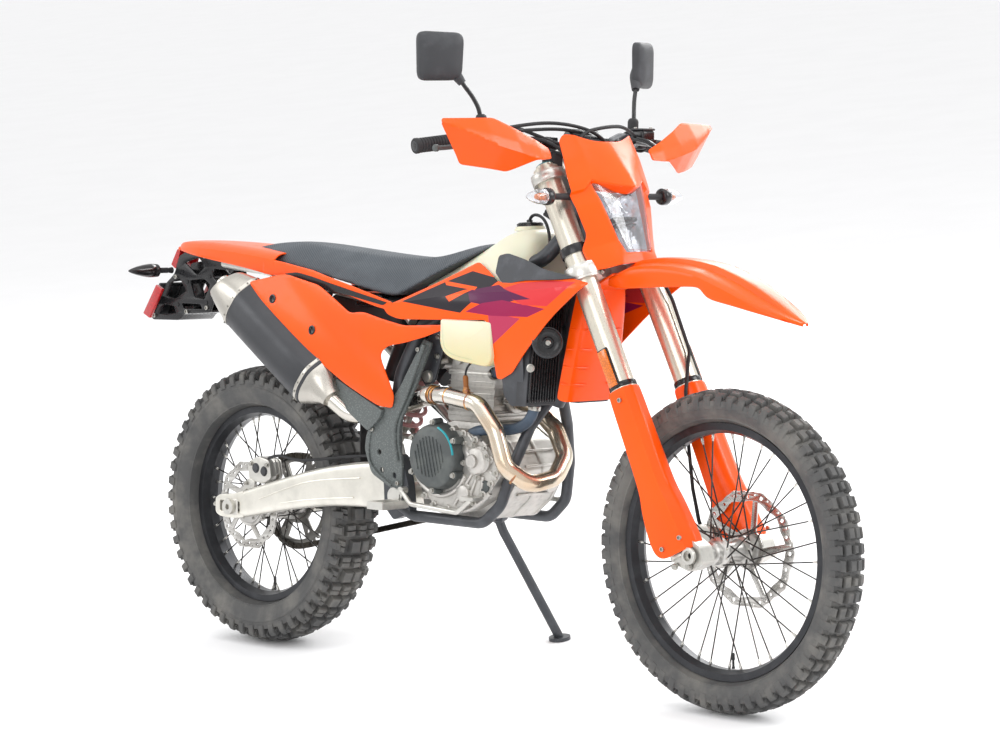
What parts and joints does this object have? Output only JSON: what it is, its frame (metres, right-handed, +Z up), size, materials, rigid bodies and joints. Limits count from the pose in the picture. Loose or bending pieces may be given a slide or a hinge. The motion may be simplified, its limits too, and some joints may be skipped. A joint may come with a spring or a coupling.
{
  "type": "trail motorcycle",
  "caption": "Full-size off-road and road trail motorcycle with turning wheels and steering, standing on its folding side stand.",
  "frame": {"origin": "ground level at the middle of the overall box", "axes": "+X to the front of the motorcycle, +Y to its left, +Z up; it leans 9 degrees to its left on the side stand"},
  "size_m": [2.242, 0.8662, 1.5029],
  "materials": {
    "cast_silver": "blasted casting",
    "chain_steel": "oiled chain",
    "clear_lens": "clear lamp lens",
    "cover_black": "satin coated cover",
    "dark_plastic": "grained black plastic",
    "disc_steel": "ground brake disc",
    "engine_grey": "painted castings",
    "fork_silver": "drawn and anodised",
    "frame_grey": "powder coat",
    "graphic_plastic": "moulded panel with shard stripes",
    "grip_rubber": "soft rubber",
    "orange_plastic": "moulded colour",
    "pipe_steel": "heat tinted stainless",
    "red_lens": "red lamp lens",
    "rim_black": "black anodised",
    "seat_cover": "ribbed grip cover",
    "silencer_grey": "hard anodised sleeve",
    "smoke_lens": "smoked lens",
    "spoke_steel": "dark plated spokes on a cast hub",
    "sprocket_steel": "machined",
    "swingarm_silver": "cast, satin",
    "tank_white": "translucent tank plastic",
    "tyre_rubber": "moulded tread rubber"
  },
  "bodies": {
    "chassis": {"main_frame": "frame_grey", "subframe": "cast_silver", "frame_guards": "dark_plastic", "swingarm": "swingarm_silver", "rear_axle": "cast_silver", "swingarm_pivot": "cast_silver", "chain": "chain_steel", "drive_sprocket": "sprocket_steel", "crankcase": "engine_grey", "clutch_cover": "cover_black", "cylinder": "engine_grey", "throttle_body": "engine_grey", "header_pipe": "pipe_steel", "silencer": "silencer_grey", "radiators": "dark_plastic", "radiator_guards": "dark_plastic", "radiator_shrouds": "graphic_plastic", "fuel_tank": "tank_white", "fuel_cap": "dark_plastic", "seat": "seat_cover", "side_panels": "orange_plastic", "rear_fender": "orange_plastic", "plate_bracket": "dark_plastic", "tail_lamp": "red_lens", "rear_indicators": "smoke_lens", "shock_absorber": "cast_silver", "mud_flap": "grip_rubber", "footpegs": "cast_silver", "foot_controls": "cast_silver", "rear_caliper": "engine_grey", "coolant_hoses": "grip_rubber", "stand_bracket": "frame_grey"},
    "steering": {"triple_clamps": "cast_silver", "handlebar": "frame_grey", "grips": "grip_rubber", "fork_upper_tubes": "fork_silver", "fork_lowers": "cast_silver", "fork_guards": "orange_plastic", "front_axle": "cast_silver", "front_caliper": "cast_silver", "front_fender": "orange_plastic", "headlamp_mask": "orange_plastic", "headlamp": "clear_lens", "handguards": "orange_plastic", "mirrors": "dark_plastic", "hand_controls": "dark_plastic", "front_indicators": "dark_plastic", "brake_hose": "grip_rubber"},
    "front_wheel": {"front_tyre": "tyre_rubber", "front_rim": "rim_black", "front_hub": "spoke_steel", "front_disc": "disc_steel"},
    "rear_wheel": {"rear_tyre": "tyre_rubber", "rear_rim": "rim_black", "rear_hub": "spoke_steel", "rear_disc": "disc_steel", "rear_sprocket": "sprocket_steel"},
    "side_stand_leg": {"side_stand": "frame_grey"}
  },
  "joints": [
    {"name": "steering_turn", "type": "hinge", "parent": "chassis", "child": "steering", "pos_m": [0.36173, -0.03635, 1.01641], "axis": [-0.454, 0.1394, 0.88], "range_deg": [-40, 40]},
    {"name": "front_wheel_spin", "type": "hinge", "parent": "steering", "child": "front_wheel", "pos_m": [0.77127, -0.14228, 0.34758], "axis": [0, 0.9877, -0.1564], "continuous": true},
    {"name": "rear_wheel_spin", "type": "hinge", "parent": "chassis", "child": "rear_wheel", "pos_m": [-0.71573, -0.14384, 0.33771], "axis": [0, 0.9877, -0.1564], "continuous": true},
    {"name": "side_stand_fold", "type": "hinge", "parent": "chassis", "child": "side_stand_leg", "pos_m": [-0.06823, 0.00323, 0.32656], "axis": [0, 0.9833, 0.1822], "range_deg": [0, 97]}
  ]
}
